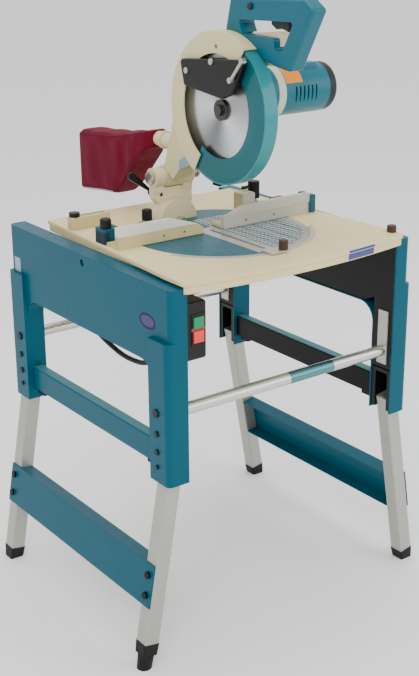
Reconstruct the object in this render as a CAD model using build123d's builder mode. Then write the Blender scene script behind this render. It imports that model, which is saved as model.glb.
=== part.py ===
"""Flip-over mitre saw on a folding-leg stand, modelled piece by piece.

Millimetres, +Z up. The origin is the centre of the stand's footprint on the floor, the operator
stands at -Y and +X is on the operator's right.
"""
from build123d import *
from math import cos, radians, sin, tan
import os

os.makedirs("parts", exist_ok=True)

# ---- stand ------------------------------------------------------------------------------------
STAND_HALF_WIDTH = 300  # outer face of the lower columns
STAND_HALF_DEPTH = 292
FRAME_INNER_X = 254  # open inner side of both side frames
BEAM_OUTER_X = 291  # outer face of the top beam and of the upper columns
SHEET = 3  # pressed steel
COLUMN_DEPTH = 60
COLUMN_BOTTOM = 377
COLUMN_STEP_Z = 654  # the columns are 9 mm thicker below this height
BEAM_BOTTOM = 602
FRAME_TOP = 751
COLUMN_Y = STAND_HALF_DEPTH - COLUMN_DEPTH / 2
COLUMN_INNER_Y = STAND_HALF_DEPTH - COLUMN_DEPTH
RAIL_Z = 512
RAIL_Y = 265
RAIL_RADIUS = 12
CROSSBAR_TOP = 450
CROSSBAR_BOTTOM = 402

# ---- folding legs -----------------------------------------------------------------------------
LEG_SIZE = 32
LEG_WALL = 2.5
LEG_SPLAY = 10  # degrees outwards from the vertical
LEG_Y = 263
LEG_PIVOT_Z = {-1: 437, 1: 395}  # the two pairs fold flat one above the other
LEG_LINE_X = 280  # leg centre line where it leaves the column
LEG_LINE_Z = 372
LEG_TOP_REACH = 12  # tube above the pivot
PIN_RADIUS = 5
PANEL_TOP = 215
PANEL_BOTTOM = 130

# ---- table ------------------------------------------------------------------------------------
TABLE_TOP = 764
DECK = 8
SKIRT_BOTTOM = 742
TABLE_FRONT = 300
TABLE_BULGE = 324  # middle of the curved front edge
TABLE_BACK = 225
FLIP_Z = 735  # the table turns over about this line, at y = 0
TURN_X, TURN_Y = -12, -62  # turntable centre
TURN_RADIUS = 178
FENCE_Y = -58
FENCE_TOP = 806

# ---- saw head ---------------------------------------------------------------------------------
BLADE_X = -20
BLADE_Y, BLADE_Z = -87, 1008
BLADE_RADIUS = 130
GUARD_RADIUS = 142
CASE_RADIUS = 147
HINGE_Y, HINGE_Z = 98, 850
MOTOR_Y, MOTOR_Z = -108, 1036
MOTOR_RADIUS = 48

SIDES = {-1: "left", 1: "right"}
ENDS = (-1, 1)


def save(body, name):
    """Label a finished piece and write it."""
    body.part.label = name
    export_step(body.part, f"parts/{name}.step")


def span(low, high):
    """Middle and length of a stretch, whichever end comes first."""
    return (low + high) / 2, abs(high - low)


def block(x, y, z, mode=Mode.ADD):
    """A box given by its stretches along X, Y and Z."""
    (cx, lx), (cy, ly), (cz, lz) = span(*x), span(*y), span(*z)
    with Locations((cx, cy, cz)):
        Box(lx, ly, lz, mode=mode)


def rod(start, end, radius, mode=Mode.ADD):
    """A round bar between two points."""
    start, end = Vector(*start), Vector(*end)
    with BuildSketch(Plane(origin=start, z_dir=end - start)) as section:
        Circle(radius)
    extrude(section.sketch, amount=(end - start).length, mode=mode)


def ring(start, end, outer, inner):
    """A tube between two points."""
    start, end = Vector(*start), Vector(*end)
    with BuildSketch(Plane(origin=start, z_dir=end - start)) as section:
        Circle(outer)
        Circle(inner, mode=Mode.SUBTRACT)
    extrude(section.sketch, amount=(end - start).length)


def side_plate(points, low_x, high_x, mode=Mode.ADD, round_by=0):
    """A plate with a (y, z) outline, from low_x to high_x."""
    with BuildSketch(Plane.YZ.offset(low_x)) as outline:
        Polygon(*points, align=None)
        if round_by:
            fillet(outline.vertices(), round_by)
    extrude(outline.sketch, amount=high_x - low_x, mode=mode)


# ================================================================================================
# Side frames: pressed inverted U, open towards the middle
# ================================================================================================
def column(side, end, low, high, outer_x, wall, corner, mode):
    """One length of column, or of the hollow in it, with its outer corner rounded."""
    inner, outer = FRAME_INNER_X, outer_x - wall
    with BuildSketch(Plane.XY.offset(low)) as plan:
        with Locations((side * (inner + outer) / 2, end * COLUMN_Y)):
            Rectangle(outer - inner, COLUMN_DEPTH - 2 * wall)
        edge = plan.vertices().filter_by(lambda v: abs(v.X) > inner + 1 and abs(v.Y) > COLUMN_Y)
        fillet(edge, corner)
    extrude(plan.sketch, amount=high - low, mode=mode)


def beam(side, width, thick, top, bottom, outer_x, corner, mode):
    """The top beam, or the hollow in it, with the rounded corners that run into the columns."""
    leg = 50
    inner = width - thick
    with BuildSketch(Plane.YZ.offset(side * FRAME_INNER_X)) as arch:
        with BuildLine():
            Polyline(
                (-width, top), (width, top), (width, bottom - leg), (inner, bottom - leg),
                (inner, bottom), (-inner, bottom), (-inner, bottom - leg), (-width, bottom - leg),
                close=True,
            )
        make_face()
        fillet(arch.vertices().filter_by(lambda v: abs(v.Y - bottom) < 0.1), corner)
    extrude(arch.sketch, amount=side * (outer_x - FRAME_INNER_X), mode=mode)


LOWER_COLUMN = (COLUMN_BOTTOM, COLUMN_STEP_Z, STAND_HALF_WIDTH)
UPPER_COLUMN = (COLUMN_STEP_Z, FRAME_TOP, BEAM_OUTER_X)

for side, word in SIDES.items():
    with BuildPart() as side_frame:
        for end in ENDS:
            for low, high, outer_x in (LOWER_COLUMN, UPPER_COLUMN):
                column(side, end, low, high, outer_x, 0, 11, Mode.ADD)
        beam(side, COLUMN_INNER_Y + 8, 8, FRAME_TOP, BEAM_BOTTOM, BEAM_OUTER_X, 38, Mode.ADD)
        for end in ENDS:
            low, high, outer_x = LOWER_COLUMN
            column(side, end, low - 1, high - SHEET, outer_x, SHEET, 8, Mode.SUBTRACT)
            low, high, outer_x = UPPER_COLUMN
            column(side, end, low - SHEET, high - SHEET, outer_x, SHEET, 8, Mode.SUBTRACT)
        beam(side, COLUMN_INNER_Y + 12, 9, FRAME_TOP - SHEET, BEAM_BOTTOM + SHEET,
             BEAM_OUTER_X - SHEET, 41, Mode.SUBTRACT)
        rod((side * 250, 0, FLIP_Z), (side * 295, 0, FLIP_Z), 7, Mode.SUBTRACT)
    save(side_frame, f"{word}_side_frame")

with BuildPart() as crossbars:  # pressed channels, open below, between the columns
    for side in ENDS:
        with BuildSketch(Plane.XZ.offset(-COLUMN_INNER_Y)):
            with Locations((side * 274, (CROSSBAR_TOP + CROSSBAR_BOTTOM) / 2)):
                Rectangle(24, CROSSBAR_TOP - CROSSBAR_BOTTOM)
        extrude(amount=2 * COLUMN_INNER_Y)
    fillet(crossbars.edges().filter_by(Axis.Y).group_by(Axis.Z)[-1], 3.5)
    for side in ENDS:
        block((side * 264.5, side * 283.5), (-COLUMN_INNER_Y, COLUMN_INNER_Y),
              (CROSSBAR_BOTTOM - 1, CROSSBAR_TOP - 2.5), Mode.SUBTRACT)
save(crossbars, "crossbars")

with BuildPart() as inner_covers:  # moulded liners that close the beams and upper columns
    depth = STAND_HALF_DEPTH - SHEET
    inner = COLUMN_INNER_Y + SHEET
    for side in ENDS:
        side_plate(
            [(-depth, 474), (-inner, 474), (-inner, BEAM_BOTTOM + SHEET + 14),
             (-inner + 27, BEAM_BOTTOM + SHEET + 2), (inner - 27, BEAM_BOTTOM + SHEET + 2),
             (inner, BEAM_BOTTOM + SHEET + 14), (inner, 474), (depth, 474),
             (depth, FRAME_TOP - SHEET), (-depth, FRAME_TOP - SHEET)],
            side * FRAME_INNER_X, side * (FRAME_INNER_X + 3))
        rod((side * 250, 0, FLIP_Z), (side * 262, 0, FLIP_Z), 11, Mode.SUBTRACT)
    rod((-FRAME_INNER_X, 141, 632), (-238, 141, 632), 12)  # gland where the cable enters
    rod((-247, 156, 638), (-247, 116, 618), 5, Mode.SUBTRACT)
save(inner_covers, "inner_covers")

with BuildPart() as rails:
    half = FRAME_INNER_X - 3
    for end in ENDS:
        ring((-half, end * RAIL_Y, RAIL_Z), (half, end * RAIL_Y, RAIL_Z), RAIL_RADIUS,
             RAIL_RADIUS - 2)
save(rails, "rails")

with BuildPart() as pivot_bushes:
    for side in ENDS:
        ring((side * FRAME_INNER_X, 0, FLIP_Z), (side * (BEAM_OUTER_X - SHEET), 0, FLIP_Z), 11, 7.05)
save(pivot_bushes, "pivot_bushes")

# ================================================================================================
# Leg brackets, pins and bolts that stay with the frames
# ================================================================================================
def pivot_x(side):
    """Distance of a leg pair's pivot from the middle, on the splayed centre line."""
    return LEG_LINE_X - (LEG_PIVOT_Z[side] - LEG_LINE_Z) * tan(radians(LEG_SPLAY))


with BuildPart() as leg_brackets:
    for side in ENDS:
        for end in ENDS:
            x = (side * (FRAME_INNER_X + 2), side * 289)
            inner, outer = COLUMN_INNER_Y + SHEET, STAND_HALF_DEPTH - SHEET
            block(x, (end * inner, end * (LEG_Y - LEG_SIZE / 2 - 0.6)), (382, 470))
            block(x, (end * (LEG_Y + LEG_SIZE / 2 + 0.6), end * outer), (382, 470))
            block(x, (end * inner, end * outer), (462, 470))
            pin = (side * pivot_x(side), LEG_PIVOT_Z[side])
            rod((pin[0], end * 230, pin[1]), (pin[0], end * 290, pin[1]), PIN_RADIUS, Mode.SUBTRACT)
save(leg_brackets, "leg_brackets")

with BuildPart() as leg_pins:
    for side in ENDS:
        for end in ENDS:
            x, z = side * pivot_x(side), LEG_PIVOT_Z[side]
            rod((x, end * (COLUMN_INNER_Y + SHEET), z), (x, end * 288.5, z), PIN_RADIUS)
save(leg_pins, "leg_pins")

with BuildPart() as lock_bars:  # flat bars up the inner covers that the leg latches slide on
    for side in ENDS:
        for end in ENDS:
            block((side * FRAME_INNER_X, side * (FRAME_INNER_X - 3)), (end * 252, end * 278),
                  (484, 598))
save(lock_bars, "lock_bars")

with BuildPart() as frame_bolts:
    for side in ENDS:
        for end in ENDS:
            for z, size in ((515, 9), (474, 6.5), (438, 6.5), (408, 5)):
                face = side * STAND_HALF_WIDTH
                with BuildSketch(Plane(origin=(face, end * 256, z), z_dir=(side, 0, 0))):
                    RegularPolygon(size, 6)
                extrude(amount=3)
save(frame_bolts, "frame_bolts")

with BuildPart() as crossbar_bumpers:
    for side in ENDS:
        for end in ENDS:
            block((side * 266, side * 282), (end * 196, end * 222), (CROSSBAR_BOTTOM - 10,
                                                                    CROSSBAR_TOP - 2.5))
save(crossbar_bumpers, "crossbar_bumpers")

# ================================================================================================
# Folding legs
# ================================================================================================
def leg_frame(side, end, reach):
    """Plane across a leg: its origin on the centre line, reach below the pivot, +Z down the leg,
    local +X outwards."""
    angle = radians(LEG_SPLAY)
    down = Vector(side * sin(angle), 0, -cos(angle))
    out = Vector(side * cos(angle), 0, sin(angle))
    pivot = Vector(side * pivot_x(side), end * LEG_Y, LEG_PIVOT_Z[side])
    return Plane(origin=pivot + down * reach, x_dir=out, z_dir=down)


def leg_reach(side, z):
    """Distance down the leg from its pivot to a height."""
    return (LEG_PIVOT_Z[side] - z) / cos(radians(LEG_SPLAY))


FOOT_TOP = {(-1, -1): 54, (-1, 1): 24, (1, -1): 24, (1, 1): 24}  # top of each black foot

for side, word in SIDES.items():
    with BuildPart() as leg_tubes:
        for end in ENDS:
            with BuildSketch(leg_frame(side, end, -LEG_TOP_REACH)):
                RectangleRounded(LEG_SIZE, LEG_SIZE, 3)
                RectangleRounded(LEG_SIZE - 2 * LEG_WALL, LEG_SIZE - 2 * LEG_WALL, 1.5,
                                 mode=Mode.SUBTRACT)
            extrude(amount=leg_reach(side, FOOT_TOP[side, end]) + LEG_TOP_REACH)
            x, z = side * pivot_x(side), LEG_PIVOT_Z[side]
            rod((x, end * 240, z), (x, end * 285, z), PIN_RADIUS + 0.08, Mode.SUBTRACT)
    save(leg_tubes, f"{word}_leg_tubes")

    top, bottom = leg_reach(side, PANEL_TOP), leg_reach(side, PANEL_BOTTOM)
    base = leg_frame(side, 1, 0)
    middle = Plane(origin=base.origin - Vector(0, LEG_Y, 0), x_dir=base.x_dir, z_dir=base.z_dir)
    with BuildPart(middle) as leg_panel:  # bolted channel: web over the legs, flanges between
        height = bottom - top
        with Locations((LEG_SIZE / 2 + 1.5, 0, (top + bottom) / 2)):
            Box(3, 2 * 278, height)
        for edge in (top + 1.25, bottom - 1.25):
            with Locations((1, 0, edge)):
                Box(LEG_SIZE - 2, 2 * (LEG_Y - LEG_SIZE / 2), 2.5)
        for end in ENDS:
            for along in (0.26, 0.74):
                with Locations((LEG_SIZE / 2 + 5.5, end * LEG_Y, top + height * along)):
                    Cylinder(7, 5, rotation=(0, 90, 0))
    save(leg_panel, f"{word}_leg_panel")

    with BuildPart() as leg_feet:
        for end in ENDS:
            if (side, end) == (-1, -1):
                continue
            start = leg_reach(side, FOOT_TOP[side, end])
            with BuildSketch(leg_frame(side, end, start)):
                RectangleRounded(LEG_SIZE + 3, LEG_SIZE + 3, 5)
            extrude(amount=50, taper=6)
        split(bisect_by=Plane.XY, keep=Keep.TOP)
        if side < 0:  # moulded end of the front leg, threaded for the levelling foot
            start = leg_reach(-1, FOOT_TOP[-1, -1])
            with BuildSketch(leg_frame(-1, -1, start)):
                RectangleRounded(LEG_SIZE + 3, LEG_SIZE + 3, 5)
            extrude(amount=24, taper=4)
            with BuildSketch(leg_frame(-1, -1, start + 24)):
                Circle(6.1)
            extrude(amount=-22, mode=Mode.SUBTRACT)
    save(leg_feet, f"{word}_leg_feet")

with BuildPart() as adjustable_foot:
    start = leg_reach(-1, FOOT_TOP[-1, -1])
    with BuildSketch(leg_frame(-1, -1, start + 25)):
        Circle(16)
    extrude(amount=60, taper=3)
    with BuildSketch(leg_frame(-1, -1, start + 25)):
        Circle(6)
    extrude(amount=-20)
    split(bisect_by=Plane.XY, keep=Keep.TOP)
save(adjustable_foot, "adjustable_foot")

# ================================================================================================
# Switch box, its buttons and its cable
# ================================================================================================
SWITCH_FACE = -291.5
BUTTONS = {"start_button": (673, 694), "stop_button": (646, 668)}

with BuildPart() as switch_housing:
    block((-FRAME_INNER_X, -210), (-290, -245), (612, 722))
    fillet(switch_housing.edges().filter_by(lambda e: e.center().X > -253), 6)
    block((-245, -215), (SWITCH_FACE, -285), (640, 700))
    for low, high in BUTTONS.values():
        block((-241.4, -218.6), (SWITCH_FACE - 1, -279), (low - 0.4, high + 0.4), Mode.SUBTRACT)
save(switch_housing, "switch_housing")

for name, (low, high) in BUTTONS.items():
    with BuildPart() as button:
        block((-241, -219), (SWITCH_FACE - 3, -282), (low, high))
        fillet(button.edges().group_by(Axis.Y)[0], 1.5)
    save(button, name)

CABLE_ROUTE = [
    (-247, 136, 628), (-247, 76, 598), (-246, 6, 570), (-244, -66, 553), (-241, -132, 557),
    (-237, -180, 586), (-232, -208, 630), (-232, -244.95, 630),
]


def route_radii(route):
    """One radius for each corner of a route: as large as its two runs allow."""
    points = [Vector(*point) for point in route]
    radii = []
    for before, corner, after in zip(points, points[1:], points[2:]):
        first, second = corner - before, after - corner
        half_turn = radians(first.get_angle(second)) / 2
        radii.append(0.45 * min(first.length, second.length) / tan(half_turn))
    return radii


print("switch cable radii", [round(radius) for radius in route_radii(CABLE_ROUTE)])
with BuildPart() as switch_cable:
    with BuildLine() as run:
        FilletPolyline(*CABLE_ROUTE, radius=route_radii(CABLE_ROUTE))
    with BuildSketch(Plane(origin=run.line @ 0, z_dir=run.line % 0)):
        Circle(5)
    sweep()
save(switch_cable, "switch_cable")

# ================================================================================================
# Table
# ================================================================================================
def table_face(inset):
    """Plan of the table, moved inwards."""
    back, waist, front = 236 - inset, 250 - inset, 266 - inset
    corner = -TABLE_FRONT + inset
    with BuildSketch(mode=Mode.PRIVATE) as plan:
        with BuildLine():
            Polyline((front, corner), (front, -240), (waist, 0), (back, TABLE_BACK - inset),
                     (-back, TABLE_BACK - inset), (-waist, 0), (-front, -240), (-front, corner))
            ThreePointArc((-front, corner), (0, -TABLE_BULGE + inset), (front, corner))
        make_face()
        if inset < 4:
            fillet(plan.vertices().filter_by(lambda v: v.Y < -290), 12)
    return plan.sketch


def skirt_face(inset):
    """Plan of the skirt under the table: inside the side frames, full width in front of them."""
    with BuildSketch(mode=Mode.PRIVATE) as plan:
        add(table_face(2 + inset))
        for side in ENDS:
            with Locations((side * (250 - inset + 50), -STAND_HALF_DEPTH - 1.5 - inset + 300)):
                Rectangle(100, 600, mode=Mode.SUBTRACT)
    return plan.sketch


turn = (TURN_X, TURN_Y)
with BuildPart() as table_casting:
    extrude(Pos(0, 0, TABLE_TOP - DECK) * table_face(0), amount=DECK)
    fillet(table_casting.edges().group_by(Axis.Z)[-1], 2.5)
    extrude(Pos(0, 0, SKIRT_BOTTOM) * skirt_face(0), amount=15)
    extrude(Pos(0, 0, SKIRT_BOTTOM) * skirt_face(6), amount=14, mode=Mode.SUBTRACT)
    with BuildSketch(Plane.XY.offset(SKIRT_BOTTOM)):  # ring wall round the turntable
        with Locations(turn):
            Circle(197)
            Circle(190, mode=Mode.SUBTRACT)
    extrude(amount=15)
    with BuildSketch(Plane.XY.offset(TABLE_TOP - DECK)):
        with Locations(turn):
            Circle(TURN_RADIUS + 1)
    extrude(amount=DECK, mode=Mode.SUBTRACT)
    for x, y in (((TURN_X - 192, TURN_X + 192), (TURN_Y - 10, TURN_Y + 10)),
                 ((TURN_X - 12, TURN_X + 12), (TURN_Y - 192, TURN_Y))):
        block(x, y, (SKIRT_BOTTOM, 749))
    for side in ENDS:  # trunnion blocks
        block((side * 226, side * 243), (-16, 16), (724, 757))
        rod((side * 200, 0, FLIP_Z), (side * 260, 0, FLIP_Z), 7, Mode.SUBTRACT)
    rod((*turn, SKIRT_BOTTOM), (*turn, 749), 30)
    rod((*turn, SKIRT_BOTTOM), (*turn, 749), 10.05, Mode.SUBTRACT)
    rod((255, -274, 740), (255, -274, 770), 4.05, Mode.SUBTRACT)  # latch spindle
save(table_casting, "table_casting")

with BuildPart() as table_trunnions:
    for side in ENDS:
        rod((side * 226, 0, FLIP_Z), (side * 286, 0, FLIP_Z), 7)
save(table_trunnions, "table_trunnions")

with BuildPart() as mitre_scale:  # graduated strip on the deck round the front of the turntable
    with BuildSketch(Plane.XY.offset(TABLE_TOP)):
        with Locations(turn):
            Circle(191)
            Circle(180, mode=Mode.SUBTRACT)
        with Locations((TURN_X, TURN_Y + 70)):
            Rectangle(500, 300, mode=Mode.SUBTRACT)
    extrude(amount=0.8)
save(mitre_scale, "mitre_scale")

with BuildPart() as table_latch:  # turns the bolt that holds the table down
    rod((255, -274, 756.2), (255, -274, 766), 4)
    rod((255, -274, 764.3), (255, -274, 778), 9.5)
    fillet(table_latch.edges().group_by(Axis.Z)[-1], 3)
save(table_latch, "table_latch")

# ================================================================================================
# Fences and what stands behind them
# ================================================================================================
FENCE_BACK = FENCE_Y + 12
GAP = 0.8  # fences clear the turntable

with BuildPart() as fence_rails:
    for ends, slope, foot in (((-244, -47), -60, (-244, -196)), ((5, 189), 5, (172, 189))):
        with BuildSketch(Plane.XZ.offset(-FENCE_BACK)):
            left, right = ends
            Polygon((left, TABLE_TOP + GAP), (right, TABLE_TOP + GAP), (right, 778),
                    (slope if slope < 0 else right, 787), (left, 787), align=None)
        extrude(amount=12)
        block(ends if slope > 0 else (left, slope), (FENCE_BACK, -16), (TABLE_TOP + GAP, 771))
        block(foot, (FENCE_Y, -16), (TABLE_TOP, TABLE_TOP + 3))
    block((60, 92), (FENCE_BACK, -17), (771, 826))  # post behind the right fence
    fillet(fence_rails.edges().filter_by(Axis.Y).group_by(Axis.Z)[-1], 4)
    for x in (-140, -92, 60, 132):  # for screwing a timber face on
        rod((x, -70, 775), (x, -40, 775), 2.6, Mode.SUBTRACT)
    for x, y in ((-159, -28), (106, -24)):  # bosses under the clamp knobs
        rod((x, y, 770), (x, y, 803), 8)
        rod((x, y, 768), (x, y, 806), 4.05, Mode.SUBTRACT)
save(fence_rails, "fence_rails")

with BuildPart() as left_fence_face:  # slides outwards to let the head tilt
    with BuildSketch(Plane.XZ.offset(-FENCE_BACK)):
        Polygon((-244, 787.3), (-64, 787.3), (-68, 789), (-123, FENCE_TOP), (-244, FENCE_TOP),
                align=None)
    extrude(amount=12)
    fillet(left_fence_face.edges().filter_by(Axis.Y).group_by(Axis.Z)[-1], 1)
    block((-240, -172), (FENCE_BACK + 0.3, -41), (776, 800))
    block((-240, -172), (FENCE_BACK - 1, -41), (788, 800))
save(left_fence_face, "left_fence_face")

with BuildPart() as right_fence_face:
    with BuildSketch(Plane.XZ.offset(-FENCE_BACK)):
        Polygon((8, 787), (229, 787), (229, FENCE_TOP), (60, FENCE_TOP), align=None)
    extrude(amount=12)
    block((189, 229), (FENCE_Y + 2, FENCE_BACK - 2), (TABLE_TOP, 787))
    block((142, 172), (FENCE_BACK, -30), (790, 804))
save(right_fence_face, "right_fence_face")

with BuildPart() as fence_end_cap:
    block((229, 243), (FENCE_Y - 2, -20), (TABLE_TOP, 802))
    fillet(fence_end_cap.edges().filter_by(Axis.Y), 3)
save(fence_end_cap, "fence_end_cap")

for name, (x, y, low, high, radius) in {
    "left_fence_knob": (-159, -28, 804, 825, 10),
    "right_fence_knob": (106, -24, 808, 843, 12),
}.items():
    with BuildPart() as knob:
        rod((x, y, low), (x, y, high), radius)
        fillet(knob.edges().group_by(Axis.Z)[-1], 3)
        for step in range(12):
            angle = radians(30 * step)
            px, py = x + radius * cos(angle), y + radius * sin(angle)
            rod((px, py, low - 1), (px, py, high + 1), 1.6, Mode.SUBTRACT)
        rod((x, y, 774), (x, y, low + 1), 4)
        if x > 0:
            block((x - 30, x), (y - 3, y + 3), (high - 14, high - 8))
    save(knob, name)

with BuildPart() as rear_castings:  # block at the left end and bridge along the back
    block((-246, -208), (-12, 24), (TABLE_TOP, 793))
    fillet(rear_castings.edges().filter_by(Axis.Z), 4)
    block((-240, -150), (118, 140), (TABLE_TOP, 790))
    bridge = rear_castings.edges().filter_by(lambda e: e.center().Y > 100)
    fillet(bridge.filter_by(Axis.Z) + bridge.group_by(Axis.Z)[-1], 4)
    block((-214, -160), (124, 134), (776, 791), Mode.SUBTRACT)
    for x, y in ((-233, 4), (-229, 128)):
        rod((x, y, 770), (x, y, 800), 4, Mode.SUBTRACT)
save(rear_castings, "rear_castings")

with BuildPart() as table_knobs:
    for x, y, low, high in ((-233, 4, 793, 812), (-229, 128, 790, 798)):
        rod((x, y, 770), (x, y, low + 1), 4)
        rod((x, y, low), (x, y, high), 11)
    fillet(table_knobs.edges().group_by(Axis.Z)[-1], 4)
save(table_knobs, "table_knobs")

# ================================================================================================
# Turntable
# ================================================================================================
with BuildPart() as turntable:
    rod((*turn, 754), (*turn, TABLE_TOP), TURN_RADIUS)
    rod((*turn, 751), (*turn, 755), 186)
    block((-66, 26), (46, 61), (712, 755))  # cheek that carries the bevel pin
    block((-66, 26), (61, 140), (700, 780), Mode.SUBTRACT)  # trough for the bevel boss
    rod((BLADE_X, 40, TABLE_TOP), (BLADE_X, 62, TABLE_TOP), 8, Mode.SUBTRACT)
    block((-66, 26), (40, 61), (TABLE_TOP, 790), Mode.SUBTRACT)
    block((-43.2, -2.8), (-229.2, -24.8), (760, 765), Mode.SUBTRACT)  # seat of the insert
    block((-36, -4), (-218, -30), (740, 761), Mode.SUBTRACT)
    rod((*turn, SKIRT_BOTTOM), (*turn, 752), 10)
    for step in range(15):  # grooves across the right half
        reach = 14 + 10 * step
        half = (TURN_RADIUS**2 - reach**2) ** 0.5 - 8
        block((TURN_X + reach, TURN_X + reach + 3), (TURN_Y - half, min(TURN_Y + half, 40)),
              (TABLE_TOP - 0.8, TABLE_TOP + 1), Mode.SUBTRACT)
save(turntable, "turntable")

with BuildPart() as kerf_insert:
    block((-43, -3), (-229, -25), (760, TABLE_TOP))
    block((-22.4, -13.6), (-214, -40), (750, 770), Mode.SUBTRACT)
    for y in (-221, -31):
        rod((-33, y, 762.5), (-33, y, 770), 2.4, Mode.SUBTRACT)
save(kerf_insert, "kerf_insert")

with BuildPart() as mitre_pointer:
    block((-40, -2), (-262, -231), (765.5, 769))
    block((-40, -2), (-236.5, -231), (TABLE_TOP, 766))
    rod((-6, -254, 760), (-6, -254, 775), 3.05, Mode.SUBTRACT)
    fillet(mitre_pointer.edges().filter_by(Axis.Z).group_by(Axis.Y)[0], 5)
save(mitre_pointer, "mitre_pointer")

with BuildPart() as mitre_lock_knob:
    rod((-6, -254, 766), (-6, -254, 772), 3)
    rod((-6, -254, 769.3), (-6, -254, 788), 9)
    fillet(mitre_lock_knob.edges().group_by(Axis.Z)[-1], 3)
save(mitre_lock_knob, "mitre_lock_knob")

with BuildPart() as bevel_pin:
    rod((BLADE_X, 46, TABLE_TOP), (BLADE_X, 106, TABLE_TOP), 8)
save(bevel_pin, "bevel_pin")

# ================================================================================================
# Bevel arm: tilts about a line along the blade slot
# ================================================================================================
pivot = (BLADE_X, TABLE_TOP)
with BuildPart() as bevel_arm:
    rod((BLADE_X, 62, TABLE_TOP), (BLADE_X, 108, TABLE_TOP), 44)
    with BuildSketch(Plane.XZ.offset(-108)):
        Polygon((-50.8, 795.4), (-62, 806.6), (-62, 828), (32, 828), (32, 796), (24, TABLE_TOP),
                (-20, TABLE_TOP), align=None)
    extrude(amount=18)
    for low, high in ((-62, -38), (8, 32)):
        rod((low, HINGE_Y, HINGE_Z), (high, HINGE_Y, HINGE_Z), 20)
        block((low, high), (88, 108), (820, 850))
    rod((-37.8, HINGE_Y, HINGE_Z), (7.8, HINGE_Y, HINGE_Z), 23, Mode.SUBTRACT)
    rod((-70, HINGE_Y, HINGE_Z), (40, HINGE_Y, HINGE_Z), 8, Mode.SUBTRACT)
    rod((BLADE_X, 60, TABLE_TOP), (BLADE_X, 110, TABLE_TOP), 8.05, Mode.SUBTRACT)
    rod((-44, 80, 814), (-44, 120, 814), 4.05, Mode.SUBTRACT)
save(bevel_arm, "bevel_arm")

with BuildPart() as bevel_bar:  # bright stop bar across the back
    block((-18, 34), (108, 115), (790, 798))
    rod((-6, 108, 794), (-6, 119, 794), 5)
    rod((22, 108, 794), (22, 119, 794), 5)
save(bevel_bar, "bevel_bar")

with BuildPart() as bevel_lever:
    rod((-44, 92, 814), (-44, 119, 814), 4)
    rod((-44, 118.5, 814), (-44, 128, 814), 9)
    with BuildSketch(Plane.XZ.offset(-127)):
        Polygon((-40, 808), (-50, 820), (-92, 862), (-102, 860), (-104, 850), align=None)
    extrude(amount=8)
    fillet(bevel_lever.edges().filter_by(Axis.Y).group_by(Axis.X)[0], 2)
save(bevel_lever, "bevel_lever")

with BuildPart() as hinge_pin:
    rod((-68, HINGE_Y, HINGE_Z), (48, HINGE_Y, HINGE_Z), 8)
    rod((-70, HINGE_Y, HINGE_Z), (-64, HINGE_Y, HINGE_Z), 13)
    rod((46, HINGE_Y, HINGE_Z), (50, HINGE_Y, HINGE_Z), 13)
save(hinge_pin, "hinge_pin")

with BuildPart() as return_spring:
    for step in range(4):
        low = 33 + 3 * step
        ring((low, HINGE_Y, HINGE_Z), (low + 2.6, HINGE_Y, HINGE_Z), 12, 9)
    fillet(return_spring.edges().filter_by(GeomType.CIRCLE), 1)
    block((33, 35), (HINGE_Y + 9, HINGE_Y + 12), (830, HINGE_Z))
save(return_spring, "return_spring")

# ================================================================================================
# Saw head
# ================================================================================================
def on_blade(angle, radius):
    """A (y, z) point round the blade, the angle measured from straight ahead upwards."""
    a = radians(angle)
    return BLADE_Y - radius * cos(a), BLADE_Z + radius * sin(a)


def sector(low_x, high_x, start, end, outer, inner, mode=Mode.ADD):
    """Part of a ring round the blade axis between two angles."""
    middle = (start + end) / 2
    with BuildSketch(Plane.YZ.offset(low_x)) as section:
        with BuildLine():
            ThreePointArc(on_blade(start, outer), on_blade(middle, outer), on_blade(end, outer))
            Line(on_blade(end, outer), on_blade(end, inner))
            ThreePointArc(on_blade(end, inner), on_blade(middle, inner), on_blade(start, inner))
            Line(on_blade(start, inner), on_blade(start, outer))
        make_face()
    extrude(section.sketch, amount=high_x - low_x, mode=mode)


blade = (BLADE_Y, BLADE_Z)
CASE_START, CASE_END = 55, 240
with BuildPart() as blade_case:
    sector(-36, 6, CASE_START, CASE_END, CASE_RADIUS, 106)
    sector(3.5, 6, CASE_START, CASE_END, CASE_RADIUS - 1, 30)
    sector(-33.5, 3.5, CASE_START - 2, CASE_END + 2, CASE_RADIUS - 2.5, 90, Mode.SUBTRACT)
    rod((3.5, *blade), (6, *blade), 50)
    rod((0, *blade), (10, *blade), 33.05, Mode.SUBTRACT)
save(blade_case, "blade_case")

with BuildPart() as saw_arm:
    side_plate([(92, 872), (78, 905), (41, 1015), (18, 1082), (-8, 1100), (-40, 1035),
                (-57, 919), (40, 872), (60, 850)], -36, 30)
    fillet(saw_arm.edges().filter_by(Axis.X).filter_by(lambda e: e.center().Z > 900), 8)
    rod((-50, HINGE_Y, HINGE_Z), (50, HINGE_Y, HINGE_Z), 25, Mode.SUBTRACT)
    block((7.5, 31), (40, 130), (820, 878), Mode.SUBTRACT)
    rod((-37.5, HINGE_Y, HINGE_Z), (7.5, HINGE_Y, HINGE_Z), 22)
    side_plate([(HINGE_Y - 20, 842), (HINGE_Y - 20, 885), (HINGE_Y, 871)], -36, 7.5)
    rod((-37, *blade), (6, *blade), CASE_RADIUS, Mode.SUBTRACT)
    rod((5, *blade), (60, *blade), 84, Mode.SUBTRACT)
    rod((-50, HINGE_Y, HINGE_Z), (50, HINGE_Y, HINGE_Z), 8.05, Mode.SUBTRACT)
    rod((BLADE_X, 44, 922), (BLADE_X, 100, 922), 15, Mode.SUBTRACT)
save(saw_arm, "saw_arm")

with BuildPart() as blade_cover:
    side_plate([(16, 1096), (-186, 1112), (-150, 1046), (-115, 1034), (3, 1046)], -47, -36,
               round_by=8)
    fillet(blade_cover.edges().group_by(Axis.X)[0], 3)
save(blade_cover, "blade_cover")

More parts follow.
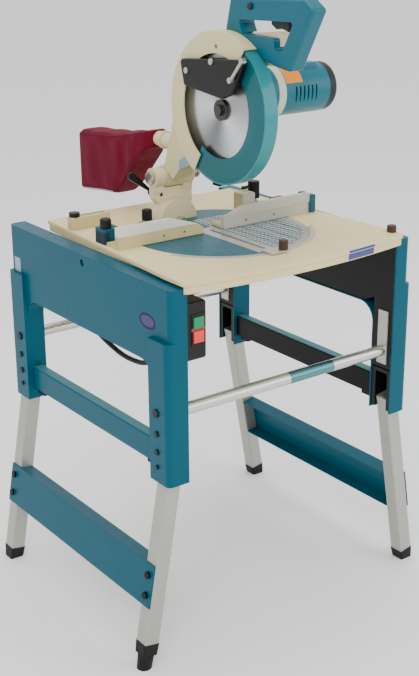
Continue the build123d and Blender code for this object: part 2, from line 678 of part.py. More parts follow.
with BuildPart() as head_fittings:
    rod((-52, -150, 1070), (-52, -189, 1114), 3.5)
    for y, z in ((-152, 1073), (-187, 1111)):
        rod((-56, y, z), (-47, y, z), 5.5)
    rod((-50, -87, 1100), (-47, -87, 1100), 6)
    rod((-50, -8, 1076), (-47, -8, 1076), 6)
    block((30, 36), (-30, -10), (845, 925))  # depth stop on the right of the arm
    block((12, 40), (-30, -10), (845, 857))
save(head_fittings, "head_fittings")

with BuildPart() as gear_housing:
    with BuildSketch(Plane.YZ.offset(6)):
        with Locations(blade):
            Circle(47)
        with Locations((MOTOR_Y, MOTOR_Z)):
            Circle(50)
        make_hull()
    extrude(amount=54)
    rod((60, MOTOR_Y, MOTOR_Z), (78, MOTOR_Y, MOTOR_Z), 51)
    fillet(gear_housing.edges().group_by(Axis.X)[-1], 2)
    rod((-8, *blade), (8, *blade), 33)
    rod((-9, *blade), (30, *blade), 8.05, Mode.SUBTRACT)
    sector(6, 30, 138, 200, 84, 40)
save(gear_housing, "gear_housing")

with BuildPart() as motor_housing:
    rod((78, MOTOR_Y, MOTOR_Z), (190, MOTOR_Y, MOTOR_Z), MOTOR_RADIUS)
    block((96, 172), (MOTOR_Y - 26, MOTOR_Y + 26), (MOTOR_Z, MOTOR_Z + 51))
    fillet(motor_housing.edges().filter_by(Axis.X).group_by(Axis.Z)[-1], 5)
    for step in range(6):
        block((102 + 10 * step, 106 + 10 * step), (MOTOR_Y - 52, MOTOR_Y - 44),
              (MOTOR_Z - 18, MOTOR_Z + 12), Mode.SUBTRACT)
save(motor_housing, "motor_housing")

with BuildPart() as motor_cap:
    rod((190, MOTOR_Y, MOTOR_Z), (212, MOTOR_Y, MOTOR_Z), MOTOR_RADIUS - 1)
    fillet(motor_cap.edges().group_by(Axis.X)[-1], 9)
    for step in range(8):
        angle = radians(45 * step)
        y, z = MOTOR_Y + 26 * cos(angle), MOTOR_Z + 26 * sin(angle)
        rod((206, y, z), (214, y, z), 5, Mode.SUBTRACT)
save(motor_cap, "motor_cap")

with BuildPart() as handle_bracket:
    side_plate([(-222, 1100), (-150, 1096), (-145, 1070), (-100, 1070), (-92, 1120), (-120, 1150),
                (-216, 1160)], 6.5, 36)
    rod((MOTOR_RADIUS, MOTOR_Y, MOTOR_Z), (0, MOTOR_Y, MOTOR_Z), 50, Mode.SUBTRACT)
    rod((0, -178, 1130), (12, -178, 1130), 15, Mode.SUBTRACT)
save(handle_bracket, "handle_bracket")

with BuildPart() as handle:
    side_plate([(-72, 1136), (-92, 1215), (-298, 1222), (-325, 1205), (-264, 1095), (-225, 1100)],
               -8, 28, round_by=8)
    side_plate([(-118, 1176), (-274, 1182), (-244, 1128), (-222, 1130), (-222, 1150), (-130, 1152)],
               -20, 40, Mode.SUBTRACT, round_by=5)
    side_plate([(-222, 1090), (-222, 1162), (-214, 1162), (-119, 1152), (-90, 1121), (-90, 1060)],
               6.5, 40, Mode.SUBTRACT)
    rod((-9, *blade), (6, *blade), CASE_RADIUS, Mode.SUBTRACT)
    outer = handle.edges().filter_by(lambda e: e.center().Z > 1195 or e.center().Y < -285)
    fillet(outer.filter_by(lambda e: abs(e.center().X - 10) > 17), 7)
    block((0, 20), (-256, -196), (1160, 1195), Mode.SUBTRACT)
    rod((-9, -155, 1202), (0, -155, 1202), 6.3, Mode.SUBTRACT)
save(handle, "handle")

with BuildPart() as trigger:
    side_plate([(-202, 1193), (-202, 1173), (-216, 1165), (-232, 1167), (-250, 1163),
                (-250, 1185), (-240, 1189), (-214, 1193)], 2, 18)
    rod((0.3, -208, 1186), (19.7, -208, 1186), 2.5)
save(trigger, "trigger")

with BuildPart() as lock_off_button:
    rod((-13, -155, 1202), (-4.5, -155, 1202), 6)
    fillet(lock_off_button.edges().group_by(Axis.X)[0], 1.5)
save(lock_off_button, "lock_off_button")

with BuildPart() as dust_nozzle:
    ring((BLADE_X, 46, 922), (BLADE_X, 140, 922), 15, 12.5)
    ring((BLADE_X, 104, 922), (BLADE_X, 112, 922), 18, 15)
save(dust_nozzle, "dust_nozzle")

with BuildPart() as dust_bag:
    side_plate([(128, 942), (128, 903), (165, 880), (238, 802), (262, 784), (408, 768),
                (404, 905), (384, 915)], -58, 18, round_by=7)
    fillet(dust_bag.edges().filter_by(lambda e: abs(e.center().X + BLADE_X * -1) > 37), 14)
    rod((BLADE_X, 120, 922), (BLADE_X, 140, 922), 15, Mode.SUBTRACT)
save(dust_bag, "dust_bag")

# ================================================================================================
# Blade and lower guard
# ================================================================================================
TEETH = 40
with BuildPart() as saw_blade:
    with BuildSketch(Plane.YZ.offset(BLADE_X - 1.2)):
        with BuildLine():
            points = []
            for tooth in range(TEETH):
                start = 360 / TEETH * tooth
                points += [on_blade(start, BLADE_RADIUS), on_blade(start + 2.6, BLADE_RADIUS - 2.5),
                           on_blade(start + 5.4, BLADE_RADIUS - 8),
                           on_blade(start + 7.6, BLADE_RADIUS - 7)]
            Polyline(*points, close=True)
        make_face()
        with Locations(blade):
            Circle(8, mode=Mode.SUBTRACT)
    extrude(amount=2.4)
save(saw_blade, "saw_blade")

with BuildPart() as arbor:
    rod((-30, *blade), (-9, *blade), 8)
    rod((-9, *blade), (24, *blade), 8)
    ring((-27, *blade), (BLADE_X - 1.2, *blade), 20, 8)
    ring((BLADE_X + 1.2, *blade), (-13, *blade), 22, 8)
    with BuildSketch(Plane.YZ.offset(-33)):
        with Locations(blade):
            RegularPolygon(11, 6)
    extrude(amount=6)
save(arbor, "arbor")

GUARD_START, GUARD_END = 60, -125
with BuildPart() as lower_guard:
    sector(-31, -2, GUARD_END, GUARD_START, GUARD_RADIUS, GUARD_RADIUS - 2.5)
    sector(-31, -28.5, GUARD_END, GUARD_START, GUARD_RADIUS - 1, 92)
    sector(-4.5, -2, GUARD_END, GUARD_START, GUARD_RADIUS - 1, 30)
    rod((-4.5, *blade), (-2, *blade), 42)
    rod((-8, *blade), (0, *blade), 33.05, Mode.SUBTRACT)
save(lower_guard, "lower_guard")
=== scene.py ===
"""Looks for the flip-over mitre saw on its folding-leg stand."""

from math import cos, pi, radians, sin

import bmesh
import bpy
from mathutils import Matrix, Vector


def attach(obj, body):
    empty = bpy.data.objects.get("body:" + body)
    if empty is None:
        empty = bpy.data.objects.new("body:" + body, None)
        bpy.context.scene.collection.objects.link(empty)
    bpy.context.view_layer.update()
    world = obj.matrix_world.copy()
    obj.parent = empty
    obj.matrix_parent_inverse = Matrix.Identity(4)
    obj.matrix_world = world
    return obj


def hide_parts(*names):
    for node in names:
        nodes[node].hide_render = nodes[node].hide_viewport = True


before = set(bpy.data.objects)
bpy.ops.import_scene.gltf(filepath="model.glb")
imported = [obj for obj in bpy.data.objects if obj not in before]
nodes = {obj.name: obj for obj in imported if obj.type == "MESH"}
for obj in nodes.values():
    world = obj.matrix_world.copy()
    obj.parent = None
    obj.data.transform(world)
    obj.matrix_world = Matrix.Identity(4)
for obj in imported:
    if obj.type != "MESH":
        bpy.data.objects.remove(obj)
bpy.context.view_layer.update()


def linear(red, green, blue):
    """A display colour, 0 to 255 a channel, as the shader's linear colour."""
    def channel(value):
        value /= 255
        return value / 12.92 if value <= 0.04045 else ((value + 0.055) / 1.055) ** 2.4
    return (channel(red), channel(green), channel(blue), 1)


TEAL = linear(0, 80, 98)
CREAM = linear(224, 208, 156)
OLIVE = linear(198, 184, 132)
ALLOY = linear(190, 190, 184)
BLACK = linear(9, 9, 11)
MAROON = linear(104, 10, 38)


# ---- shader building blocks -------------------------------------------------------------------
class Surface:
    """One material: a Principled shader and the nodes that vary it over the object."""

    def __init__(self, name, colour, roughness, metallic=0.0, coat=0.0, shine=0.3):
        self.material = bpy.data.materials.new(name)
        self.material.use_nodes = True
        self.tree = self.material.node_tree
        self.shader = self.tree.nodes["Principled BSDF"]
        self.shader.inputs["Roughness"].default_value = roughness
        self.shader.inputs["Metallic"].default_value = metallic
        self.shader.inputs["Coat Weight"].default_value = coat
        self.shader.inputs["Coat Roughness"].default_value = 0.15
        self.shader.inputs["Specular IOR Level"].default_value = shine
        self.place = self.node("ShaderNodeTexCoord").outputs["Object"]
        self.parts = self.node("ShaderNodeSeparateXYZ")
        self.link(self.place, self.parts.inputs[0])
        self.colour = self.node("ShaderNodeRGB").outputs[0]
        self.colour.default_value = colour
        self.normal = None

    def node(self, kind, **settings):
        made = self.tree.nodes.new(kind)
        for key, value in settings.items():
            setattr(made, key, value)
        return made

    def link(self, output, socket):
        self.tree.links.new(output, socket)

    def number(self, operation, first, second=0.5, third=None):
        """A Math node; each value is a number or another node's output."""
        made = self.node("ShaderNodeMath", operation=operation)
        for socket, value in zip(made.inputs, (first, second, third)):
            if value is None:
                continue
            if isinstance(value, (int, float)):
                socket.default_value = value
            else:
                self.link(value, socket)
        return made.outputs[0]

    def noise(self, scale, detail=2.0, stretch=(1, 1, 1), rough=0.5):
        """Noise over the object, scale in cycles a metre."""
        mapping = self.node("ShaderNodeMapping")
        mapping.inputs["Scale"].default_value = stretch
        self.link(self.place, mapping.inputs["Vector"])
        made = self.node("ShaderNodeTexNoise")
        made.inputs["Scale"].default_value = scale
        made.inputs["Detail"].default_value = detail
        made.inputs["Roughness"].default_value = rough
        self.link(mapping.outputs[0], made.inputs["Vector"])
        return made.outputs["Fac"]

    def mix(self, factor, colour):
        """Lays another colour over the present one where factor is 1."""
        made = self.node("ShaderNodeMix", data_type="RGBA")
        self.link(factor, made.inputs[0])
        self.link(self.colour, made.inputs[6])
        if isinstance(colour, tuple):
            made.inputs[7].default_value = colour
        else:
            self.link(colour, made.inputs[7])
        self.colour = made.outputs[2]

    def shade(self, factor, low, high):
        """Multiplies the colour by a value between low and high."""
        amount = self.number("MULTIPLY_ADD", factor, high - low, low)
        made = self.node("ShaderNodeHueSaturation")
        self.link(amount, made.inputs["Value"])
        self.link(self.colour, made.inputs["Color"])
        self.colour = made.outputs[0]

    def box(self, low, high):
        """1 inside a box in the frame, metres; None leaves an end open."""
        result = None
        for axis in range(3):
            for limit, operation in ((low[axis], "GREATER_THAN"), (high[axis], "LESS_THAN")):
                if limit is None:
                    continue
                test = self.number(operation, self.parts.outputs[axis], limit)
                result = test if result is None else self.number("MULTIPLY", result, test)
        return result

    def disc(self, axes, centre, radii):
        """1 inside an ellipse seen along the third axis."""
        total = None
        for axis, middle, radius in zip(axes, centre, radii):
            step = self.number("SUBTRACT", self.parts.outputs[axis], middle)
            step = self.number("DIVIDE", step, radius)
            step = self.number("POWER", self.number("ABSOLUTE", step), 2.0)
            total = step if total is None else self.number("ADD", total, step)
        return self.number("LESS_THAN", total, 1.0)

    def bump(self, height, strength, distance):
        made = self.node("ShaderNodeBump")
        made.inputs["Strength"].default_value = strength
        made.inputs["Distance"].default_value = distance
        self.link(height, made.inputs["Height"])
        if self.normal is not None:
            self.link(self.normal, made.inputs["Normal"])
        self.normal = made.outputs[0]

    def soften(self, radius):
        """Rounds sharp edges by a small radius."""
        made = self.node("ShaderNodeBevel", samples=4)
        made.inputs["Radius"].default_value = radius
        self.normal = made.outputs[0]

    def vary_roughness(self, factor, low, high):
        self.link(self.number("MULTIPLY_ADD", factor, high - low, low),
                  self.shader.inputs["Roughness"])

    def done(self):
        self.link(self.colour, self.shader.inputs["Base Color"])
        if self.normal is not None:
            self.link(self.normal, self.shader.inputs["Normal"])
        return self.material


def enamel(name, colour, roughness=0.32):
    """Satin enamel on pressed steel: faint orange peel, slight colour drift, handling marks."""
    made = Surface(name, colour, roughness, shine=0.14)
    made.shade(made.noise(7, 3), 0.93, 1.06)
    made.soften(0.0012)
    made.bump(made.noise(420, 1), 0.06, 0.0004)
    made.vary_roughness(made.noise(55, 4), roughness - 0.06, roughness + 0.12)
    return made


def casting(name, colour, roughness=0.48):
    """Painted or bare alloy casting with a sand-cast grain."""
    made = Surface(name, colour, roughness)
    made.shade(made.noise(11, 4), 0.92, 1.05)
    made.soften(0.0015)
    made.bump(made.noise(650, 3), 0.16, 0.0006)
    made.vary_roughness(made.noise(90, 3), roughness - 0.05, roughness + 0.12)
    return made


def alloy(name, colour, stretch, roughness=0.34, metallic=0.55):
    """Drawn or machined metal with fine lines along one direction."""
    made = Surface(name, colour, roughness, metallic)
    lines = made.noise(900, 2, stretch)
    made.shade(lines, 0.92, 1.04)
    made.shade(made.noise(9, 3), 0.95, 1.04)
    made.soften(0.0008)
    made.bump(lines, 0.10, 0.0003)
    made.vary_roughness(lines, roughness - 0.08, roughness + 0.14)
    return made


def plastic(name, colour, roughness=0.42, grain=0.14):
    """Moulded plastic with a fine eroded grain."""
    made = Surface(name, colour, roughness)
    made.shade(made.noise(20, 3), 0.92, 1.08)
    made.soften(0.0008)
    made.bump(made.noise(1500, 2), grain, 0.0003)
    made.vary_roughness(made.noise(120, 3), roughness - 0.05, roughness + 0.1)
    return made


def use(surface, *names):
    """Gives a finished surface to CAD nodes."""
    material = surface.done()
    for name in names:
        slots = nodes[name].material_slots
        for slot in slots:
            slot.material = material
    return material


# ---- stand ------------------------------------------------------------------------------------
def side_frames():
    made = enamel("frame_enamel", TEAL)
    outer_left = made.box((None, None, None), (-0.2905, None, None))
    badge = made.number("MULTIPLY", outer_left, made.disc((1, 2), (-0.221, 0.679), (0.026, 0.015)))
    made.mix(badge, linear(14, 16, 74))
    inner = made.number("MULTIPLY", outer_left,
                        made.disc((1, 2), (-0.221, 0.679), (0.021, 0.0105)))
    made.mix(made.number("MULTIPLY", inner, 0.35), linear(110, 100, 140))
    made.mix(made.box((None, 0.252, 0.655), (-0.2905, 0.276, 0.685)), linear(150, 168, 186))
    return use(made, "left_side_frame", "right_side_frame")


def crossbars():
    made = enamel("crossbar_enamel", TEAL)
    # painted highlight: the top face is painted a lighter teal, as if lit from above
    made.mix(made.box((None, None, 0.4495), (None, None, None)), linear(60, 122, 130))
    made.mix(made.box((-0.2635, None, None), (0.2635, None, 0.449)), BLACK)
    return use(made, "crossbars")


LEG_SPLAY = radians(10)
LEG_PIVOT_X, LEG_PIVOT_Z = 0.280, 0.372  # a point on the right leg's centre line
LEG_FACE = 0.0195  # a leg's centre line to the panel's web, just short of its outside


def leg_panels():
    made = enamel("panel_enamel", TEAL)
    made.mix(made.box((0.2, -0.150, 0.148), (0.3265, 0.160, 0.198)), linear(196, 200, 196))
    rear = made.box((None, 0.2545, None), (None, 0.2715, None))
    front = made.box((None, -0.2715, None), (None, -0.2545, None))
    outside_left = made.number("LESS_THAN", slant(made, -1), -LEG_FACE)
    outside_right = made.number("GREATER_THAN", slant(made, 1), LEG_FACE)
    outside = made.number("MAXIMUM", outside_left, outside_right)
    made.mix(made.number("MULTIPLY", made.number("MAXIMUM", rear, front), outside), BLACK)
    return use(made, "left_leg_panel", "right_leg_panel")


def slant(made, side):
    """Distance across a leg from its centre line, outwards positive on the right."""
    across = made.number("MULTIPLY", made.parts.outputs[2], side * sin(LEG_SPLAY))
    along = made.number("MULTIPLY", made.parts.outputs[0], cos(LEG_SPLAY))
    total = made.number("ADD", across, along)
    offset = side * (LEG_PIVOT_X * cos(LEG_SPLAY) + LEG_PIVOT_Z * sin(LEG_SPLAY))
    return made.number("SUBTRACT", total, offset)


def rails():
    made = alloy("rail_metal", linear(206, 206, 200), (0.02, 1, 1), 0.22, 0.85)
    made.mix(made.box((0.0, None, None), (0.112, -0.2, None)), linear(78, 134, 140))
    return use(made, "rails")


def stand():
    side_frames()
    crossbars()
    leg_panels()
    rails()
    use(alloy("leg_metal", linear(172, 173, 164), (1, 1, 0.02), 0.36, 0.6),
        "left_leg_tubes", "right_leg_tubes")
    use(alloy("lock_bar_metal", ALLOY, (1, 1, 0.02)), "lock_bars")
    use(plastic("liner_plastic", BLACK, 0.5), "inner_covers", "pivot_bushes")
    use(plastic("bracket_paint", linear(10, 10, 12), 0.4), "leg_brackets", "frame_bolts")
    use(plastic("foot_rubber", linear(9, 9, 9), 0.6, 0.25), "crossbar_bumpers",
        "left_leg_feet", "right_leg_feet", "adjustable_foot")
    use(alloy("pin_metal", ALLOY, (1, 0.02, 1), 0.28, 0.8), "leg_pins")
    housing = plastic("switch_plastic", linear(14, 10, 12), 0.36)
    housing.mix(housing.box((None, None, 0.668), (None, -0.2905, 0.6735)), linear(150, 60, 60))
    use(housing, "switch_housing")
    use(plastic("start_green", linear(14, 132, 84), 0.28, 0.05), "start_button")
    use(plastic("stop_red", linear(238, 62, 50), 0.28, 0.05), "stop_button")
    use(plastic("cable_rubber", linear(10, 9, 10), 0.45), "switch_cable")


# ---- table ------------------------------------------------------------------------------------
TURN_X, TURN_Y = -0.012, -0.062


def table():
    made = casting("table_cream", CREAM, 0.42)
    made.mix(made.box((0.100, None, 0.7575), (0.172, -0.309, 0.7625)), linear(58, 70, 128))
    made.mix(made.box((0.100, None, 0.7435), (0.172, -0.309, 0.7565)), linear(66, 78, 134))
    use(made, "table_casting")

    fence = casting("fence_casting", OLIVE, 0.42)
    fence.mix(fence.box((0.0, None, None), (None, -0.040, None)), linear(178, 176, 160))
    use(fence, "fence_rails")
    bright = alloy("fence_face_metal", linear(232, 229, 218), (0.02, 1, 1), 0.35, 0.25)
    use(bright, "left_fence_face")
    grey = alloy("fence_right_metal", linear(190, 188, 176), (0.02, 1, 1), 0.35, 0.4)
    grey.mix(grey.box((0.14, -0.046, 0.789), (0.174, -0.03, 0.81)), BLACK)
    use(grey, "right_fence_face")
    use(plastic("end_cap_teal", TEAL, 0.35), "fence_end_cap")

    rear = casting("rear_casting_cream", OLIVE)
    block = rear.box((None, -0.02, None), (None, 0.03, None))
    rear.mix(block, TEAL)
    rear.mix(rear.box((None, -0.02, None), (-0.2335, 0.03, 0.788)), linear(22, 46, 58))
    use(rear, "rear_castings")
    use(plastic("knob_plastic", BLACK, 0.4), "table_knobs", "left_fence_knob",
        "right_fence_knob", "bevel_lever")
    use(plastic("brown_knob", linear(66, 44, 34), 0.4), "table_latch", "mitre_lock_knob")
    use(alloy("scale_metal", linear(188, 186, 178), (1, 1, 1), 0.36, 0.5), "mitre_scale",
        "mitre_pointer")
    use(alloy("insert_metal", linear(186, 184, 176), (1, 0.02, 1), 0.3, 0.55), "kerf_insert")
    use(alloy("bright_pin_metal", ALLOY, (1, 1, 0.05), 0.26, 0.85), "table_trunnions",
        "bevel_pin", "bevel_bar", "hinge_pin", "return_spring")
    use(alloy("arbor_metal", linear(74, 74, 70), (1, 1, 1), 0.3, 0.8), "arbor")


def turntable():
    """Smooth teal on the left; a lattice of grey ribs on the right inside a bare rim."""
    made = casting("turntable_casting", linear(0, 84, 100), 0.36)
    right = made.box((TURN_X + 0.008, None, 0.7625), (None, 0.040, None))
    spacing = 2 * pi / 0.0145
    across = made.number("SINE", made.number("MULTIPLY", made.parts.outputs[0], spacing))
    along = made.number("SINE", made.number("MULTIPLY", made.parts.outputs[1], spacing * 0.62))
    lattice = made.number("MULTIPLY", across, along)
    lattice = made.number("LESS_THAN", made.number("ABSOLUTE", lattice), 0.34)
    inside = made.disc((0, 1), (TURN_X, TURN_Y), (0.168, 0.168))
    ribs = made.number("MULTIPLY", made.number("MULTIPLY", right, lattice), inside)
    made.mix(ribs, linear(196, 200, 194))
    rim = made.number("SUBTRACT", 1.0, made.disc((0, 1), (TURN_X, TURN_Y), (0.166, 0.166)))
    made.mix(made.number("MULTIPLY", rim, right), linear(168, 168, 160))
    holes = made.number("MULTIPLY", right, made.number("SUBTRACT", 1.0, lattice))
    made.bump(made.number("MULTIPLY", holes, -1.0), 0.8, 0.0025)
    made.mix(made.box((None, 0.044, 0.70), (None, None, 0.7535)), OLIVE)
    use(made, "turntable")


# ---- head -------------------------------------------------------------------------------------
BLADE_Y, BLADE_Z = -0.087, 1.008


def blade():
    """Ground steel disc with a painted reflection, bright and dark sweeps by angle round its
    centre, and fine turned rings.
    """
    made = Surface("blade_metal", linear(205, 207, 210), 0.26, 0.9)
    made.shader.inputs["Anisotropic"].default_value = 0.7
    tangent = made.node("ShaderNodeTangent", direction_type="RADIAL", axis="X")
    shift = made.node("ShaderNodeMapping")
    shift.inputs["Location"].default_value = (0, -BLADE_Y, -BLADE_Z)
    made.link(made.place, shift.inputs["Vector"])
    split = made.node("ShaderNodeSeparateXYZ")
    made.link(shift.outputs[0], split.inputs[0])
    angle = made.number("ARCTAN2", split.outputs[2], split.outputs[1])
    reach = made.number("SQRT", made.number(
        "ADD", made.number("POWER", made.number("ABSOLUTE", split.outputs[1]), 2.0),
        made.number("POWER", made.number("ABSOLUTE", split.outputs[2]), 2.0)))
    # painted reflection: the colour is brightened and darkened by angle round the centre, in
    # bright and dark sweeps
    painted_streaks = made.number("SINE", made.number("MULTIPLY_ADD", angle, 2.0, 0.6))
    painted_fans = made.number("SINE", made.number("MULTIPLY_ADD", angle, 3.0, 1.9))
    both = made.number("MULTIPLY_ADD", made.number("ADD", painted_streaks, painted_fans), 0.22, 0.5)
    made.shade(both, 0.28, 1.35)
    rings = made.number("SINE", made.number("MULTIPLY", reach, 9000))
    made.bump(rings, 0.04, 0.0002)
    made.link(tangent.outputs[0], made.shader.inputs["Tangent"])
    use(made, "saw_blade")


def guard():
    """Tinted, nearly opaque plastic with a paler moulded rim."""
    made = Surface("guard_plastic", linear(0, 96, 104), 0.2, coat=0.04, shine=0.3)
    made.shade(made.noise(16, 3), 0.9, 1.1)
    rim = made.number("SUBTRACT", 1.0, made.disc((1, 2), (BLADE_Y, BLADE_Z), (0.1388, 0.1388)))
    made.mix(made.number("MULTIPLY", rim, 0.4), linear(70, 178, 188))
    made.bump(made.noise(160, 2), 0.05, 0.0004)
    made.shader.inputs["Alpha"].default_value = 0.86
    use(made, "lower_guard")


def head():
    arm = casting("arm_cream", linear(208, 196, 148), 0.45)
    band = arm.number("MULTIPLY_ADD", arm.parts.outputs[1], 0.62, arm.parts.outputs[2])
    low = arm.number("GREATER_THAN", band, 0.894)
    high = arm.number("LESS_THAN", band, 0.916)
    label = arm.number("MULTIPLY", low, high)
    label = arm.number("MULTIPLY", label, arm.box((None, -0.05, None), (-0.0355, 0.038, None)))
    arm.mix(label, linear(120, 156, 168))
    use(arm, "saw_arm")
    use(casting("bevel_cream", linear(218, 206, 164), 0.45), "bevel_arm")
    case = casting("case_cream", linear(216, 204, 158), 0.42)
    case.mix(case.disc((1, 2), (-0.087, 1.127), (0.004, 0.004)), linear(120, 92, 50))
    use(case, "blade_case")
    use(plastic("cover_plastic", BLACK, 0.3), "blade_cover")
    use(plastic("cap_plastic", linear(30, 34, 38), 0.45), "motor_cap", "trigger",
        "lock_off_button")
    fittings = alloy("fitting_metal", ALLOY, (1, 1, 1), 0.25, 0.85)
    fittings.mix(fittings.box((0.0, None, None), (None, None, 0.95)), BLACK)
    use(fittings, "head_fittings")
    gear = plastic("gear_teal", linear(0, 96, 112), 0.32, 0.06)
    gear.mix(gear.box((0.0595, None, None), (0.0785, None, None)), linear(200, 206, 186))
    use(gear, "gear_housing")
    motor = plastic("motor_teal", linear(0, 98, 114), 0.3, 0.06)
    label = motor.box((0.082, -0.152, 1.045), (0.122, -0.112, None))
    motor.mix(label, linear(240, 140, 8))
    use(motor, "motor_housing")
    use(plastic("handle_teal", linear(0, 90, 108), 0.34, 0.08), "handle")
    bracket = plastic("bracket_cream", linear(222, 212, 172), 0.4)
    ring = bracket.disc((1, 2), (-0.178, 1.130), (0.0152, 0.0152))
    bracket.mix(ring, linear(62, 54, 48))
    use(bracket, "handle_bracket")
    use(plastic("nozzle_cream", linear(206, 196, 152), 0.45), "dust_nozzle")


# ---- dust bag ---------------------------------------------------------------------------------
def fabric(name, colour):
    """Plain woven cloth: threads both ways, a soft nap and creased shading."""
    made = Surface(name, colour, 0.86, shine=0.1)
    made.shader.inputs["Sheen Weight"].default_value = 0.06
    made.shader.inputs["Sheen Roughness"].default_value = 0.4
    pitch = 2 * pi / 0.0016
    warp = made.number("SINE", made.number("MULTIPLY", made.parts.outputs[1], pitch))
    weft = made.number("SINE", made.number("MULTIPLY", made.parts.outputs[2], pitch))
    weave = made.number("MULTIPLY", warp, weft)
    made.shade(made.number("MULTIPLY_ADD", weave, 0.5, 0.5), 0.9, 1.08)
    made.shade(made.noise(26, 4), 0.82, 1.12)
    made.bump(weave, 0.35, 0.0005)
    made.bump(made.noise(34, 3), 0.5, 0.004)
    return made.done()


BAG_X = -0.020  # the bag's middle
BAG_STEPS = 56  # rings along the bag


def bag_section(place):
    """Lowest and highest point and half width of the bag at a distance along it, 0 to 1."""
    stations = (
        (0.00, 0.1285, 0.905, 0.940, 0.017), (0.06, 0.146, 0.897, 0.938, 0.028),
        (0.20, 0.178, 0.868, 0.930, 0.034), (0.45, 0.236, 0.806, 0.921, 0.036),
        (0.55, 0.262, 0.786, 0.917, 0.036), (0.95, 0.395, 0.771, 0.906, 0.035),
        (1.00, 0.407, 0.775, 0.898, 0.030),
    )
    for before, after in zip(stations, stations[1:]):
        if place <= after[0]:
            share = (place - before[0]) / (after[0] - before[0])
            return [a + (b - a) * share for a, b in zip(before[1:], after[1:])]
    return list(stations[-1][1:])


def bag_skin(place, angle):
    """A point of the bag's cloth: a boxy section with its sides pulled in and lightly folded."""
    y, low, high, half = bag_section(place)
    c, s = cos(angle), sin(angle)
    loose = min(1, place * 3)
    side = 1 if c > 0 else -1
    x = half * (abs(c) ** 0.34) * side
    z = (high - low) / 2 * (abs(s) ** 0.34) * (1 if s > 0 else -1)
    flat = (1 - abs(s) ** 2.2) * loose
    fold = 0.0011 * sin(21 * place + 3.1 * s) + 0.0009 * sin(34 * place - 5 * s + 1.3)
    x -= (0.0030 + fold) * flat * side
    z -= 0.0012 * sin(26 * place + 2 * c) * (1 - abs(c)) * loose
    return (BAG_X + x, y, (low + high) / 2 + z)


def dust_bag():
    """A sewn cloth bag: flat sides that pull in between their seams, with sag folds."""
    mesh = bpy.data.meshes.new("dust_bag_cloth")
    bm = bmesh.new()
    rings = []
    around = 64
    for step in range(BAG_STEPS + 1):
        place = step / BAG_STEPS
        ring = []
        for turn in range(around):
            ring.append(bm.verts.new(bag_skin(place, 2 * pi * turn / around)))
        rings.append(ring)
    for first, second in zip(rings, rings[1:]):
        for index in range(around):
            after = (index + 1) % around
            bm.faces.new((first[index], first[after], second[after], second[index]))
    bm.faces.new(rings[0])
    bm.faces.new(list(reversed(rings[-1])))
    bmesh.ops.recalc_face_normals(bm, faces=bm.faces)
    bm.to_mesh(mesh)
    bm.free()
    bag = bpy.data.objects.new("dust_bag_cloth", mesh)
    bpy.context.collection.objects.link(bag)
    for face in mesh.polygons:
        face.use_smooth = True
    bag.data.materials.append(fabric("bag_fabric", MAROON))
    soften = bag.modifiers.new("soften", "SUBSURF")
    soften.levels = soften.render_levels = 1
    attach(bag, "head")
    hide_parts("dust_bag")


def tube_piece(name, points, radius, body, material):
    """A round strip along a line of points."""
    curve = bpy.data.curves.new(name, "CURVE")
    curve.dimensions = "3D"
    curve.bevel_depth = radius
    curve.bevel_resolution = 3
    spline = curve.splines.new("POLY")
    spline.points.add(len(points) - 1)
    for target, point in zip(spline.points, points):
        target.co = (*point, 1)
    curve.use_fill_caps = True
    piece = bpy.data.objects.new(name, curve)
    bpy.context.collection.objects.link(piece)
    curve.materials.append(material)
    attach(piece, body)
    return piece


def bag_trim():
    """Corded seams round the bag's sides and a grey closing strip under it."""
    seam = fabric("seam_cord", linear(96, 22, 48))
    for side in (-1, 1):
        corner = pi / 4 if side > 0 else 3 * pi / 4
        line = [bag_skin(step / BAG_STEPS, corner) for step in range(6, BAG_STEPS)]
        line += [bag_skin(step / BAG_STEPS, -corner) for step in range(BAG_STEPS - 1, 5, -1)]
        tube_piece(f"bag_seam_{'left' if side < 0 else 'right'}", line, 0.0016, "head",
                   seam)
    grey = plastic("strip_grey", linear(176, 160, 168), 0.5).done()
    strip = [bag_skin(step / BAG_STEPS, -0.70 * pi) for step in range(32, BAG_STEPS - 1)]
    tube_piece("bag_strip", strip, 0.0026, "head", grey)


# ---- camera, floor and light ------------------------------------------------------------------
ROLL = -0.33  # degrees


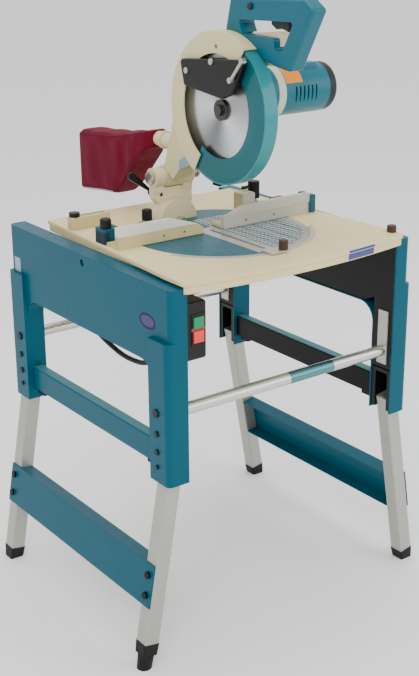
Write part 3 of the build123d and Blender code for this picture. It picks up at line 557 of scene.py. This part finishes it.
def camera():
    data = bpy.data.cameras.new("camera")
    data.sensor_width = 36
    data.lens = 64.32
    data.shift_x, data.shift_y = -0.0032, -0.0059
    holder = bpy.data.objects.new("camera", data)
    bpy.context.collection.objects.link(holder)
    eye = Vector((-1.4061, -1.9167, 1.3889))
    target = Vector((-0.00434, -0.02596, 0.53527))
    turn = (target - eye).to_track_quat("-Z", "Y").to_matrix().to_4x4()
    holder.matrix_world = Matrix.Translation(eye) @ turn @ Matrix.Rotation(radians(ROLL), 4, "Z")
    bpy.context.scene.camera = holder



def area_light(name, place, aim, size, power):
    data = bpy.data.lights.new(name, "AREA")
    data.size = size
    data.energy = power
    holder = bpy.data.objects.new(name, data)
    bpy.context.collection.objects.link(holder)
    holder.location = place
    holder.rotation_euler = (Vector(aim) - Vector(place)).to_track_quat("-Z", "Y").to_euler()


def studio():
    mesh = bpy.data.meshes.new("floor")
    bm = bmesh.new()
    bmesh.ops.create_grid(bm, x_segments=1, y_segments=1, size=30)
    bm.to_mesh(mesh)
    bm.free()
    floor = bpy.data.objects.new("floor", mesh)
    bpy.context.collection.objects.link(floor)
    white = bpy.data.materials.new("floor_white")
    white.use_nodes = True
    shader = white.node_tree.nodes["Principled BSDF"]
    shader.inputs["Base Color"].default_value = (0.97, 0.97, 0.97, 1)
    shader.inputs["Roughness"].default_value = 0.9
    shader.inputs["Specular IOR Level"].default_value = 0.1
    mesh.materials.append(white)
    world = bpy.data.worlds.new("studio")
    world.use_nodes = True
    background = world.node_tree.nodes["Background"]
    background.inputs["Color"].default_value = (1, 1, 1, 1)
    background.inputs["Strength"].default_value = 1.15
    bpy.context.scene.world = world
    area_light("key", (-2.2, -2.4, 3.2), (0, 0, 0.7), 1.8, 60)
    area_light("fill", (2.2, -2.6, 1.8), (0, 0, 0.6), 2.2, 30)
    area_light("top", (0.3, 0.6, 3.4), (0, 0, 0.8), 1.6, 35)


camera()
stand()
table()
turntable()
blade()
guard()
head()
dust_bag()
bag_trim()
studio()
